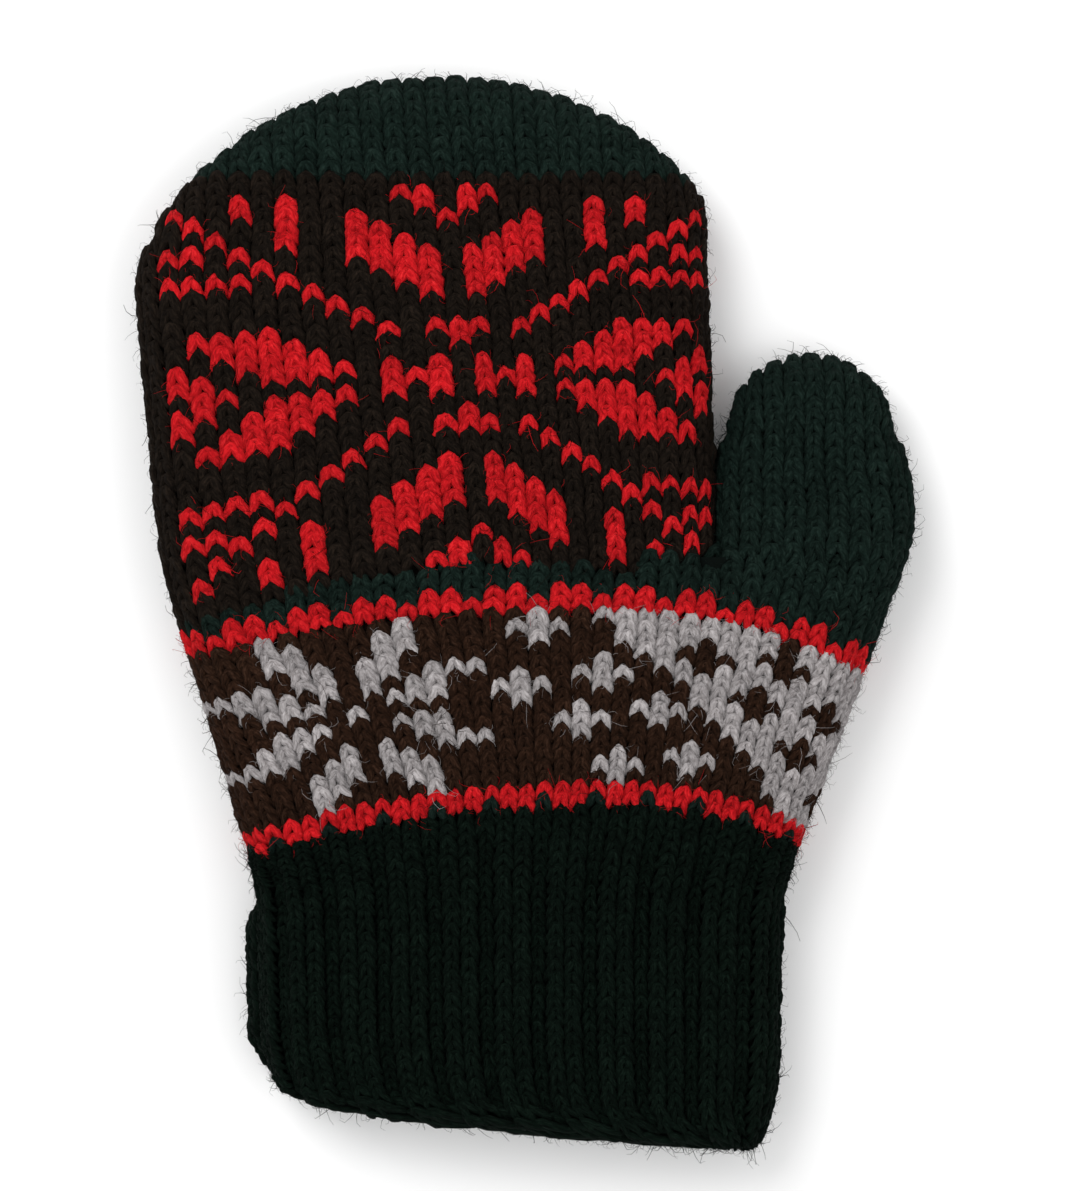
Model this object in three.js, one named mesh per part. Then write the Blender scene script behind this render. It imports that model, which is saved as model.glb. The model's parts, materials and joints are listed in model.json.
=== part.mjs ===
// A child's knitted mitten lying flat, in millimetres: +X to the thumb side, +Y from the cuff to the
// fingertips, +Z up from the surface it lies on. The knit is a double layer: a patterned outer shell
// and a plain liner inside it, with a ribbed cuff turned up inside itself round rings of elastic.
import * as THREE from "three";

// ---- lengths along the mitten, measured on its middle line ----
const CUFF_LENGTH = 47.5; // cuff edge to the wrist fold
const WRIST_RIB_HEIGHT = 13.4; // ribbing above the wrist fold
const STRIPE_HEIGHT = 5.8; // two courses of red
const SNOW_BAND_HEIGHT = 29.5; // brown band with grey snowflakes
const BORDER_HEIGHT = 5.1; // toothed red border
const BLACK_BAND_HEIGHT = 3.7; // plain courses up to the thumb crotch
const KNUCKLE_LENGTH = 15; // thumb crotch to the finger fold
const PANEL_LENGTH = 49; // star panel above the finger fold
const FINGERTIP_LENGTH = 21; // plain cap that closes the hand

// ---- widths ----
const HEM_WIDTH = 84;
const CUFF_WIDTH = 90.6;
const WRIST_WIDTH = 92.2;
const HAND_WIDTH = 97.6; // hand tube at the thumb crotch
const SHOULDER_WIDTH = 101; // hand tube where the fingertip arc begins
const SHOULDER_DROP = 30; // from the fingertip down to the shoulder
const FINGERTIP_RADIUS = 61; // the arc round the fingertips
const THUMB_ROOT_WIDTH = 32.6;
const THUMB_WIDTH = 34.4; // at its widest, a quarter of the way up
const THUMB_TIP_WIDTH = 32; // where the arc round its tip begins
const THUMB_LENGTH = 36; // thumb crotch to the thumb tip
const HAND_OFFSET = 14.6; // hand tube's middle, left of the cuff's middle
const SHOULDER_OFFSET = 17.9; // the same where the fingertip arc begins
const FINGERTIP_OFFSET = 13.9; // the same for the middle of the fingertip arc
const TUBE_GAP = 0.8; // between the hand tube and the thumb lying beside it

// ---- thicknesses ----
const HAND_THICKNESS = 18;
const CUFF_THICKNESS = 17;
const THUMB_THICKNESS = 15;
const TIP_THICKNESS = 8; // at the closed fingertip and thumb tip
const SHELL_WALL = 2.2; // patterned outer knit
const LINER_WALL = 1.2;
const LAYER_GAP = 0.6; // between shell and liner
const INNER_RIB_WALL = 1.6; // the turned-up inside of the cuff
const ELASTIC_SPACE = 1.5; // between the two layers of the cuff
const ELASTIC_SIZE = 0.7;
const ELASTIC_COUNT = 6;
const THREAD_RADIUS = 0.6; // closing and linking threads
const LINK_SPACE = 3; // between the liner and the inside of the cuff, for the linking thread
const CROWN = 1.2; // rise of the middle over the edges, on top

// ---- how the knit is drawn out of square ----
const BORDER_SAG = 11; // ends of the red border below its middle
const STRIPE_SAG = 8.5; // ends of the red stripe below its middle
const HEM_SLANT = 8.5; // cuff edge, higher on the side away from the thumb
const HEM_HEIGHT = 6;
const HEM_ROUNDING = 3; // length over which the folded edge is rounded
const HEM_FOLD_INSET = 1.6; // and how far it draws in there
const FINGER_TAPER = 45; // length over which the fingers thin towards the tip
const THUMB_TAPER = 20;
const SIDE_REACH = 9; // how far in from its edge a tube is rounded

const CLEARANCE = 0.3; // between pieces that touch
const SIDE_STEPS = 6;
const FLAT_STEPS = 8;
const MOST_ROUNDED = 0.8; // share of its half width that a narrow tube may spend on its rounded side
const PANEL_SHARES = [0.25, 0.4, 0.55, 0.65, 0.75, 0.85, 0.93]; // cross-sections up the star panel
const CAP_ANGLES = [50, 58, 66, 73, 79, 84]; // degrees round the fingertip arc, to where it closes
const CAP_LINER_ANGLES = [42, 46, 50, 54, 58];
const THUMB_CAP_ANGLES = [15, 30, 45, 60, 72, 82];
const THUMB_LINER_ANGLES = [15, 30, 42];
const CLOSING_SPREAD = 22; // degrees of the fingertip arc that the closing thread runs along
const THUMB_CLOSING_SPREAD = 28;

// ---- levels worked out from the lengths ----
const WRIST_FOLD = CUFF_LENGTH;
const CUFF_FULL_LEVEL = HEM_HEIGHT + HEM_SLANT; // where the cuff reaches its full width
const STRIPE_LEVEL = WRIST_FOLD + WRIST_RIB_HEIGHT;
const SNOW_LEVEL = STRIPE_LEVEL + STRIPE_HEIGHT;
const BORDER_LEVEL = SNOW_LEVEL + SNOW_BAND_HEIGHT;
const BLACK_LEVEL = BORDER_LEVEL + BORDER_HEIGHT;
const CROTCH = BLACK_LEVEL + BLACK_BAND_HEIGHT;
const FINGER_FOLD = CROTCH + KNUCKLE_LENGTH;
const CAP_LEVEL = FINGER_FOLD + PANEL_LENGTH;
const FINGERTIP = CAP_LEVEL + FINGERTIP_LENGTH;
const THUMB_TIP = CROTCH + THUMB_LENGTH;
const SHOULDER = FINGERTIP - SHOULDER_DROP;
const THUMB_TIP_RADIUS = THUMB_TIP_WIDTH / 2;
const ARC_MIDDLE = FINGERTIP - FINGERTIP_RADIUS;
const THUMB_ARC_MIDDLE = THUMB_TIP - THUMB_TIP_RADIUS;

const HAND_RIGHT = HAND_WIDTH / 2 - HAND_OFFSET;
const THUMB_LEFT = HAND_RIGHT + TUBE_GAP;
const THUMB_MIDDLE = THUMB_LEFT + THUMB_TIP_RADIUS;
const LINER_INSET = SHELL_WALL + LAYER_GAP;
const CAVITY_INSET = LINER_INSET + LINER_WALL;
const INNER_RIB_INSET = SHELL_WALL + ELASTIC_SPACE;
const CUFF_CAVITY_INSET = INNER_RIB_INSET + INNER_RIB_WALL;
const ELASTIC_INSET = SHELL_WALL + (ELASTIC_SPACE - ELASTIC_SIZE) / 2;

const BLACK_YARN = { color: "#10201c", roughness: 0.95 };
const RED_YARN = { color: "#c01f26", roughness: 0.95 };
const BROWN_YARN = { color: "#2a1b16", roughness: 0.95 };
const LINER_YARN = { color: "#141c1a", roughness: 0.95 };
const ELASTIC = { color: "#26282a", roughness: 0.6 };

// Straight-line reading of a rising list of [level, value] pairs.
function read(pairs, level) {
  const last = pairs.length - 1;
  if (level <= pairs[0][0]) return pairs[0][1];
  if (level >= pairs[last][0]) return pairs[last][1];
  const i = pairs.findIndex(([at]) => at >= level);
  const [y0, v0] = pairs[i - 1];
  const [y1, v1] = pairs[i];
  return v0 + ((v1 - v0) * (level - y0)) / (y1 - y0);
}

// Left and right edges of the wide tube: cuff, wrist and palm up to the thumb crotch.
const PALM_LEFT = [
  [0, -HEM_WIDTH / 2],
  [CUFF_FULL_LEVEL, -CUFF_WIDTH / 2],
  [WRIST_FOLD, -WRIST_WIDTH / 2],
  [CROTCH, -HAND_WIDTH / 2 - HAND_OFFSET],
];
const PALM_RIGHT = [
  [0, HEM_WIDTH / 2],
  [CUFF_FULL_LEVEL, CUFF_WIDTH / 2],
  [WRIST_FOLD, WRIST_WIDTH / 2],
  [CROTCH, THUMB_LEFT + THUMB_ROOT_WIDTH],
];
const HAND_LEFT = [
  [CROTCH, -HAND_WIDTH / 2 - HAND_OFFSET],
  [SHOULDER, -SHOULDER_WIDTH / 2 - SHOULDER_OFFSET],
];
const HAND_RIGHT_EDGE = [
  [CROTCH, HAND_RIGHT],
  [SHOULDER, Math.min(HAND_RIGHT, SHOULDER_WIDTH / 2 - SHOULDER_OFFSET)],
];
const THUMB_RIGHT_EDGE = [
  [CROTCH, THUMB_LEFT + THUMB_ROOT_WIDTH],
  [CROTCH + THUMB_LENGTH / 4, THUMB_LEFT + THUMB_WIDTH],
  [THUMB_ARC_MIDDLE, THUMB_LEFT + THUMB_TIP_WIDTH],
];

// Thickness that falls along a quarter ellipse towards a closed tip.
function tapered(full, tip, taper, level) {
  const u = THREE.MathUtils.clamp((level - tip + taper) / taper, 0, 1);
  return TIP_THICKNESS + (full - TIP_THICKNESS) * Math.sqrt(1 - u * u);
}

function palmSection(level) {
  return {
    left: read(PALM_LEFT, level),
    right: read(PALM_RIGHT, level),
    thick: HAND_THICKNESS,
  };
}

// The hand and thumb tubes end in an arc, and inner surfaces follow a smaller arc about its middle.
function tubeSection(tube, level, inset) {
  const { arc, edges } = tube;
  const tip = arc.y + arc.radius;
  if (level <= arc.y) {
    const thick = tapered(tube.full, tip, tube.taper, level);
    return { left: edges.left(level), right: edges.right(level), thick };
  }
  const radius = arc.radius - inset;
  const rise = level - arc.y;
  const half = Math.sqrt(Math.max(radius * radius - rise * rise, 1)) + inset;
  const outer = arc.y + (rise * arc.radius) / radius;
  return {
    left: Math.max(edges.left(outer), arc.x - half),
    right: Math.min(edges.right(outer), arc.x + half),
    thick: tapered(tube.full, tip, tube.taper, outer),
  };
}

const HAND = {
  arc: { x: -FINGERTIP_OFFSET, y: ARC_MIDDLE, radius: FINGERTIP_RADIUS },
  edges: { left: (y) => read(HAND_LEFT, y), right: (y) => read(HAND_RIGHT_EDGE, y) },
  full: HAND_THICKNESS,
  taper: FINGER_TAPER,
};
const THUMB = {
  arc: { x: THUMB_MIDDLE, y: THUMB_ARC_MIDDLE, radius: THUMB_TIP_RADIUS },
  edges: { left: () => THUMB_LEFT, right: (y) => read(THUMB_RIGHT_EDGE, y) },
  full: THUMB_THICKNESS,
  taper: THUMB_TAPER,
};

// One closed outline round a flattened tube, inset from its outer surface. It runs along the flat
// underside, up the right side, back along the crowned top and down the left side.
function outline(section, inset, levelAt) {
  const left = section.left + inset;
  const right = section.right - inset;
  const bottom = inset;
  const top = section.thick - inset;
  const middle = (left + right) / 2;
  const half = (right - left) / 2;
  const reach = Math.min(SIDE_REACH - inset, half * MOST_ROUNDED);
  const flat = half - reach;
  const crownAt = (x) => -CROWN * ((x - middle) / half) ** 2;
  const points = [];
  const add = (x, z, share) => {
    points.push(new THREE.Vector3(x, levelAt(x), z + share * crownAt(x)));
  };
  for (let i = 0; i < FLAT_STEPS; i++) add(middle - flat + (2 * flat * i) / FLAT_STEPS, bottom, 0);
  for (let side = 1; side >= -1; side -= 2) {
    for (let i = 0; i < SIDE_STEPS; i++) {
      const turn = ((side > 0 ? i : SIDE_STEPS - i) / SIDE_STEPS) * Math.PI;
      const rise = (1 - Math.cos(turn)) / 2;
      add(middle + side * (flat + reach * Math.sin(turn)), bottom + (top - bottom) * rise, rise);
    }
    if (side > 0) {
      for (let i = 0; i < FLAT_STEPS; i++) {
        add(middle + flat - (2 * flat * i) / FLAT_STEPS, top, 1);
      }
    }
  }
  return points;
}

// A shell between outer and inner lists of outlines: open at both ends, or closed at the far end.
function shellGeometry(outer, inner, closed) {
  const size = outer[0].length;
  const innerStart = outer.length;
  const lastOuter = outer.length - 1;
  const lastInner = innerStart + inner.length - 1;
  const index = [];
  const quad = (a, b, c, d) => index.push(a, b, c, a, c, d);
  const strip = (nearLoop, farLoop) => {
    for (let i = 0; i < size; i++) {
      const j = (i + 1) % size;
      quad(nearLoop * size + i, farLoop * size + i, farLoop * size + j, nearLoop * size + j);
    }
  };
  for (let k = 0; k < lastOuter; k++) strip(k, k + 1);
  for (let k = innerStart; k < lastInner; k++) strip(k + 1, k);
  strip(innerStart, 0);
  if (closed) {
    for (let i = 1; i < size - 1; i++) {
      index.push(lastOuter * size, lastOuter * size + i + 1, lastOuter * size + i);
      index.push(lastInner * size, lastInner * size + i, lastInner * size + i + 1);
    }
  } else {
    strip(lastOuter, lastInner);
  }
  const geometry = new THREE.BufferGeometry().setFromPoints([...outer, ...inner].flat());
  geometry.setIndex(index);
  return geometry;
}

const group = new THREE.Group();

function place(name, geometry, finish) {
  const mesh = new THREE.Mesh(geometry, new THREE.MeshStandardMaterial({ metalness: 0, ...finish }));
  mesh.name = name;
  group.add(mesh);
  return mesh;
}

// A course's height across the tube: highest in the middle, and level round the two rounded sides.
const arched = (section, level, sag) => {
  const middle = (section.left + section.right) / 2;
  const flat = (section.right - section.left) / 2 - SIDE_REACH;
  return (x) => level - sag * Math.min(Math.abs(x - middle) / flat, 1) ** 2;
};

// A piece of the palm tube between two courses, each sagging towards its ends.
function palmPiece(name, low, high, lowSag, highSag, insets, finish, steps = 3) {
  const loops = insets.map((inset) => {
    const list = [];
    for (let k = 0; k <= steps; k++) {
      const level = THREE.MathUtils.lerp(low, high, k / steps);
      const sag = THREE.MathUtils.lerp(lowSag, highSag, k / steps);
      const section = palmSection(level - sag);
      list.push(outline(section, inset, arched(section, level, sag)));
    }
    return list;
  });
  place(name, shellGeometry(loops[0], loops[1], false), finish);
}

// An open piece of the hand or thumb tube between two levels.
function tubePiece(name, tube, levels, insets, finish) {
  const loops = insets.map((inset) =>
    levels.map((level) => outline(tubeSection(tube, level, inset), inset, () => level)),
  );
  place(name, shellGeometry(loops[0], loops[1], false), finish);
}

// The closed end of a tube: from a level up round its arc, to the angle where the layer closes.
function tipPiece(name, tube, levels, angles, insets, finish) {
  const loops = insets.map((inset) => {
    const radius = tube.arc.radius - inset;
    const rises = angles.map((a) => tube.arc.y + radius * Math.sin(THREE.MathUtils.degToRad(a)));
    return [...levels, ...rises].map((level) =>
      outline(tubeSection(tube, level, inset), inset, () => level),
    );
  });
  place(name, shellGeometry(loops[0], loops[1], true), finish);
}

// The cuff's courses follow its slanted edge at the bottom and are level at the wrist fold.
function cuffOutline(level, inset) {
  const section = palmSection(level);
  section.thick = CUFF_THICKNESS;
  const slant = HEM_SLANT * (1 - level / WRIST_FOLD);
  const width = section.right - section.left;
  return outline(section, inset, (x) => level + slant * ((section.right - x) / width) ** 2);
}

function cuffPiece(name, levels, insets, finish) {
  const loops = insets.map((inset) => levels.map((level) => cuffOutline(level, inset)));
  place(name, shellGeometry(loops[0], loops[1], false), finish);
}

const SHELL = [0, SHELL_WALL];
const LINER = [LINER_INSET, CAVITY_INSET];
const gap = CLEARANCE / 2;

// ---- palm: a wide tube with the thumb root in it ----
palmPiece("wrist_rib", WRIST_FOLD + gap, STRIPE_LEVEL - gap, 0, STRIPE_SAG, SHELL, BLACK_YARN);
palmPiece("red_stripe", STRIPE_LEVEL + gap, SNOW_LEVEL - gap, STRIPE_SAG, STRIPE_SAG, SHELL, RED_YARN);
palmPiece("snow_band", SNOW_LEVEL + gap, BORDER_LEVEL - gap, STRIPE_SAG, BORDER_SAG, SHELL, BROWN_YARN);
palmPiece("red_border", BORDER_LEVEL + gap, BLACK_LEVEL - gap, BORDER_SAG, BORDER_SAG, SHELL, RED_YARN);
palmPiece("black_band", BLACK_LEVEL + gap, CROTCH - gap, BORDER_SAG, 0, SHELL, BLACK_YARN);
palmPiece("palm_liner", WRIST_FOLD + LINK_SPACE, CROTCH - gap, 0, 0, LINER, LINER_YARN, 5);
tubePiece("star_panel_lower", HAND, [CROTCH + gap, FINGER_FOLD - gap], SHELL, BLACK_YARN);
tubePiece("knuckle_liner", HAND, [CROTCH + gap, FINGER_FOLD - gap], LINER, LINER_YARN);

// ---- fingers ----
const panelLevels = [
  FINGER_FOLD + gap,
  ...PANEL_SHARES.map((share) => FINGER_FOLD + share * PANEL_LENGTH),
  CAP_LEVEL - gap,
];
tubePiece("star_panel_upper", HAND, panelLevels, SHELL, BLACK_YARN);
tipPiece("fingertip_cap", HAND, [CAP_LEVEL + gap], CAP_ANGLES, SHELL, BLACK_YARN);
tipPiece("finger_liner", HAND, panelLevels.slice(0, -2), CAP_LINER_ANGLES, LINER, LINER_YARN);

// ---- thumb ----
const thumbLevels = [CROTCH + gap, CROTCH + THUMB_LENGTH / 4, THUMB_ARC_MIDDLE - gap];
tubePiece("thumb_tube", THUMB, thumbLevels, SHELL, BLACK_YARN);
tipPiece("thumb_tip", THUMB, [THUMB_ARC_MIDDLE + gap], THUMB_CAP_ANGLES, SHELL, BLACK_YARN);
tipPiece("thumb_liner", THUMB, thumbLevels, THUMB_LINER_ANGLES, LINER, LINER_YARN);

// ---- cuff ----
const ribLevels = [HEM_HEIGHT + gap, CUFF_FULL_LEVEL, WRIST_FOLD - gap];
cuffPiece("rib_cuff", ribLevels, SHELL, BLACK_YARN);
cuffPiece("cuff_inner_rib", ribLevels, [INNER_RIB_INSET, CUFF_CAVITY_INSET], LINER_YARN);
const hemLoops = [
  [HEM_FOLD_INSET, 0, 0],
  [INNER_RIB_INSET, CUFF_CAVITY_INSET, CUFF_CAVITY_INSET],
].map((insets) =>
  [0, HEM_ROUNDING, HEM_HEIGHT - gap].map((level, k) => cuffOutline(level, insets[k])),
);
place("cuff_hem", shellGeometry(hemLoops[0], hemLoops[1], false), BLACK_YARN);

const elasticInsets = [ELASTIC_INSET, ELASTIC_INSET + ELASTIC_SIZE];
for (let k = 1; k <= ELASTIC_COUNT; k++) {
  const level = THREE.MathUtils.lerp(HEM_HEIGHT, WRIST_FOLD, k / (ELASTIC_COUNT + 1));
  cuffPiece(`cuff_elastic_${k}`, [level, level + ELASTIC_SIZE], elasticInsets, ELASTIC);
}

// ---- threads ----
function threadPiece(name, points) {
  const path = new THREE.CatmullRomCurve3(points);
  const section = new THREE.Shape().absarc(0, 0, THREAD_RADIUS, 0, 2 * Math.PI, false);
  const steps = 4 * (points.length - 1);
  const options = { steps, curveSegments: 8, extrudePath: path };
  place(name, new THREE.ExtrudeGeometry(section, options), BLACK_YARN);
}

// A closing thread gathers the last course just inside the arc of a tip.
function closingThread(name, tube, spread) {
  const radius = tube.arc.radius - SHELL_WALL - 2 * THREAD_RADIUS;
  const points = [];
  for (let k = -2; k <= 2; k++) {
    const angle = THREE.MathUtils.degToRad((spread * k) / 2);
    const x = tube.arc.x + radius * Math.sin(angle);
    const y = tube.arc.y + radius * Math.cos(angle);
    const { thick } = tubeSection(tube, y, SHELL_WALL + 2 * THREAD_RADIUS);
    points.push(new THREE.Vector3(x, y, thick / 2));
  }
  threadPiece(name, points);
}
closingThread("fingertip_thread", HAND, CLOSING_SPREAD);
closingThread("thumb_tip_thread", THUMB, THUMB_CLOSING_SPREAD);

const crotchX = HAND_RIGHT + TUBE_GAP / 2;
const crotchY = CROTCH - 3 * THREAD_RADIUS;
const crotchLow = CAVITY_INSET + CLEARANCE;
const crotchHigh = HAND_THICKNESS - CROWN - CAVITY_INSET - CLEARANCE;
const crotchPoints = [crotchLow, (crotchLow + crotchHigh) / 2, crotchHigh].map(
  (z) => new THREE.Vector3(crotchX, crotchY, z),
);
threadPiece("crotch_thread", crotchPoints);

const linkLevel = WRIST_FOLD + LINK_SPACE / 2;
const linkLoops = [LINER_INSET, LINER_INSET + 2 * THREAD_RADIUS].map((inset) =>
  [linkLevel - THREAD_RADIUS, linkLevel + THREAD_RADIUS].map((level) =>
    outline(palmSection(level), inset, () => level),
  ),
);
place("cuff_link_thread", shellGeometry(linkLoops[0], linkLoops[1], false), BLACK_YARN);

// The part's origin is under the middle of its box, on the surface it lies on.
const box = new THREE.Box3().setFromObject(group);
const middle = box.getCenter(new THREE.Vector3());
group.position.set(-middle.x, -middle.y, -box.min.z);

export default group;
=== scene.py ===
"""A child's knitted mitten, laid flat: every stitch is a loop of brushed acrylic yarn.

The fabric is laid out as charts of wales (columns) and courses (rows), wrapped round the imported
frame's tubes. All sizes here are in millimetres until a mesh is made.
"""

import json
import math

import bpy
import numpy as np
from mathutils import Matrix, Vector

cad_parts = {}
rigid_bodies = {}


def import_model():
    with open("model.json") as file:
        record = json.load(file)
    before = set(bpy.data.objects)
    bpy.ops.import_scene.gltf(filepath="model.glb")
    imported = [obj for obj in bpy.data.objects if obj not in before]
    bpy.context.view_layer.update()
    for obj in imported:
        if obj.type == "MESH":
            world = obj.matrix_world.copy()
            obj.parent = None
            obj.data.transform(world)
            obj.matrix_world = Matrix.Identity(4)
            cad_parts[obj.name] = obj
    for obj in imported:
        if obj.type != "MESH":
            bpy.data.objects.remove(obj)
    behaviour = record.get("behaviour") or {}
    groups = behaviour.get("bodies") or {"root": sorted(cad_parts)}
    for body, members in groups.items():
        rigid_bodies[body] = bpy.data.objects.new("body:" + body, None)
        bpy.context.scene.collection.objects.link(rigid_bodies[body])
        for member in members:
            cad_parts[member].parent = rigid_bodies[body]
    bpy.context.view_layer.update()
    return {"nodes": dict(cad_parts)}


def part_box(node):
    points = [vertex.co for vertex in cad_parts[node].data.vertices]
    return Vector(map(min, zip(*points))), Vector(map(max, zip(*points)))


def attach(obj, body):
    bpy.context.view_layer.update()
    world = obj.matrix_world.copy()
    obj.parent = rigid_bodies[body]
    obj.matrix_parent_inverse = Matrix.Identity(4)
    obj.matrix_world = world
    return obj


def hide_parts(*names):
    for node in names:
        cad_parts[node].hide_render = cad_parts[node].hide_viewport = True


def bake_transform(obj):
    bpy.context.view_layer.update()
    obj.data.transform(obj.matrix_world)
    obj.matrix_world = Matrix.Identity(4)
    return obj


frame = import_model()
scene = bpy.context.scene

MM = 0.001
DRAWS = np.random.default_rng(11)

# ---- the fabric ----
WALE = 3.65  # width of a stitch as knitted
COURSE = 2.1  # height of a stitch as knitted
YARN_INSET = 0.95  # the yarn's middle line lies this far inside the mitten's outer surface
FLOAT_INSET = 0.75  # the yarn carried behind the stitches lies this far inside theirs
RIB_FLOAT_INSET = 1.2
FLOAT_WALL = 0.4
RIB_UP = 0.25  # the standing wales of the rib rise by this
RIB_DOWN = -1.2  # and the sunk ones lie this much lower
PRESSED_HEIGHT = 0.5  # yarn nearer the floor than this is flattened
STITCH_WOBBLE = 0.8  # the noise that roughens the yarn's outline, and the loose fibres' next
FUZZ_WOBBLE = 0.6
WOBBLE_SCALE = 300.0  # how fine that noise is, for each metre

# ---- how many wales go across one face ----
HAND_WALES = 28
HAND_LEFT_WALES = 14.5  # of them, from the left edge to the star's middle
PALM_WALES = 33
BAND_WALES = 34
BORDER_WALES = 36
THUMB_WALES = 11
CROWDING = 0.09  # the wales of the border and snow band crowd towards the thumb's side
TWIST = 1.5  # wales that the snow band shifts by on its way down, on the side away from the thumb

# ---- courses: down from the border, but from the star's middle and the crotch on hand and thumb ----
HAND_ROWS = range(-28, 16)
THUMB_ROWS = range(18)
BORDER_ROWS = range(-12, 1)  # the last is the full red row, and its teeth are over it
BAND_ROWS = range(1, 16)
STRIPE_ROWS = range(16, 18)
WRIST_ROWS = range(18, 25)
CUFF_ROWS = range(25, 46)
HEM_ROWS = range(46, 50)
BAND_ENDS = [BAND_ROWS[0], BAND_ROWS[-1]]
TIP_CLEARANCE = 0.2  # a stitch nearer the closed end than this is left out
TIP_OVERLAP = 0.6  # the fabric behind the stitches goes this far past it, to close the end
PLAIN_OVERLAP = 0.8  # the plain rows over the border tuck this far under the star panel

# ---- the shape of the laid-out mitten ----
LAID_THICKNESS = 18.0
WRIST_THINNING = 1.0  # the cuff lies this much flatter
SIDE_REACH = 9.0  # how far in from an edge the fabric is rounded
CORNER_BLEND = 1.5  # softens the corner where a side meets the closed end
CROWN = 1.2  # rise of the middle over the edges, on top
FINGERTIP_RADIUS = 61.0
SHOULDER_DROP = 30.0  # from the fingertip down to where the arc starts
SHOULDER_LEVEL = 66.0  # the hand's edges keep this level's places above it
THUMB_TIP_RADIUS = 16.0
THUMB_ROOT = 12.0  # length over which the thumb swells to meet the palm
THUMB_ROOT_SWELL = 3.0
THUMB_PRESS = 1.2  # the thumb's root is pushed this far against the hand
THUMB_PRESS_REACH = 24.0
THUMB_SAG = 1.5  # its courses droop at both edges
PANEL_CORNER = 20.0  # past this the star panel ends at the level of the crotch
HEM_SLANT = 9.5  # the cuff's edge is higher on the side away from the thumb
HEM_ROW = 46.3  # the course where the cuff turns in
HEM_RADIUS = 1.35
LAYER_SLIP = 3.6  # the cuff's lower layer shows past the upper one on the side away from the thumb
SLIP_END = -84.0  # and the layers lie together again at this level
SLIP_REACH = 14.0


# ---- small helpers ----
def linear(code):
    """A hex sRGB colour as Blender's linear red, green, blue and alpha."""
    parts = [int(code[i : i + 2], 16) / 255 for i in (1, 3, 5)]
    return [p / 12.92 if p <= 0.04045 else ((p + 0.055) / 1.055) ** 2.4 for p in parts] + [1]


def add(tree, kind, values=None, links=None, **settings):
    """Adds a node with its settings, the values of its inputs and the links into it."""
    node = tree.nodes.new(kind)
    for name, value in settings.items():
        setattr(node, name, value)
    for name, value in (values or {}).items():
        node.inputs[name].default_value = value
    for name, source in (links or {}).items():
        tree.links.new(source, node.inputs[name])
    return node


def smooth(t):
    t = np.clip(t, 0, 1)
    return t * t * (3 - 2 * t)


# ---- the frame's tubes ----
LEVEL_STEP = 0.25
NEAR_LEVELS = 4  # a tube is as wide as the widest of this many levels each way
EXTRA_LEVELS = 160  # each edge is carried on this far past both ends
SLOPE_LEVELS = 8  # with the slope of its last part
EVENED_LEVELS = 21  # kinks between straight lengths are evened out over this many


def measured(names):
    """Levels up a tube of CAD nodes, with its left edge, right edge and thickness at each."""
    ends = []
    for name in names:
        mesh = frame["nodes"][name].data
        places = np.array([v.co for v in mesh.vertices]) / MM
        ends.append(places[np.array([e.vertices[:] for e in mesh.edges])])
    a, b = np.concatenate(ends).transpose(1, 0, 2)
    low, high = min(a[:, 1].min(), b[:, 1].min()), max(a[:, 1].max(), b[:, 1].max())
    levels = np.arange(low + 0.2, high, LEVEL_STEP)
    rows = []
    for y in levels:
        crossing = (a[:, 1] - y) * (b[:, 1] - y) < 0
        if not crossing.any():  # in the gap between two nodes
            rows.append(rows[-1])
            continue
        p, q = a[crossing], b[crossing]
        t = ((y - p[:, 1]) / (q[:, 1] - p[:, 1]))[:, None]
        at = p + t * (q - p)
        rows.append([at[:, 0].min(), at[:, 0].max(), at[:, 2].max()])
    rows = np.array(rows)
    near = np.arange(-NEAR_LEVELS, NEAR_LEVELS + 1)
    index = np.clip(np.arange(len(levels))[:, None] + near, 0, len(levels) - 1)
    left = rows[index, 0].min(1)
    right = rows[index, 1].max(1)
    thick = rows[index, 2].max(1)
    return levels, left, right, thick


def make_tube(names, tip_radius=None, side_top=None):
    """A tube of fabric: its edges and thickness by level, and the arc that closes it, if any."""
    levels, left, right, thick = measured(names)
    tube = {"levels": levels, "thick": thick, "arc": None}
    keep = levels < levels[-1] + 1
    if tip_radius:
        tip = levels[-1] + 0.3
        middle = (left[-1] + right[-1]) / 2
        tube["arc"] = (middle, tip - tip_radius, tip_radius)
        keep = levels < (side_top or tip - tip_radius) - 1
    start = levels[0] - EXTRA_LEVELS * LEVEL_STEP
    even = np.full(EVENED_LEVELS, 1 / EVENED_LEVELS)
    for side, edge in (("left", left[keep]), ("right", right[keep])):
        first_slope = (edge[SLOPE_LEVELS] - edge[0]) / SLOPE_LEVELS
        last_slope = (edge[-1] - edge[-1 - SLOPE_LEVELS]) / SLOPE_LEVELS
        before = edge[0] - np.arange(EXTRA_LEVELS, 0, -1) * first_slope
        after = edge[-1] + np.arange(1, EXTRA_LEVELS + 1) * last_slope
        longer = np.concatenate([before, edge, after])
        for _ in range(3):
            longer = np.convolve(np.pad(longer, EVENED_LEVELS // 2, "edge"), even, "valid")
        tube[side] = (start + LEVEL_STEP * np.arange(len(longer)), longer)
    return tube


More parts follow.
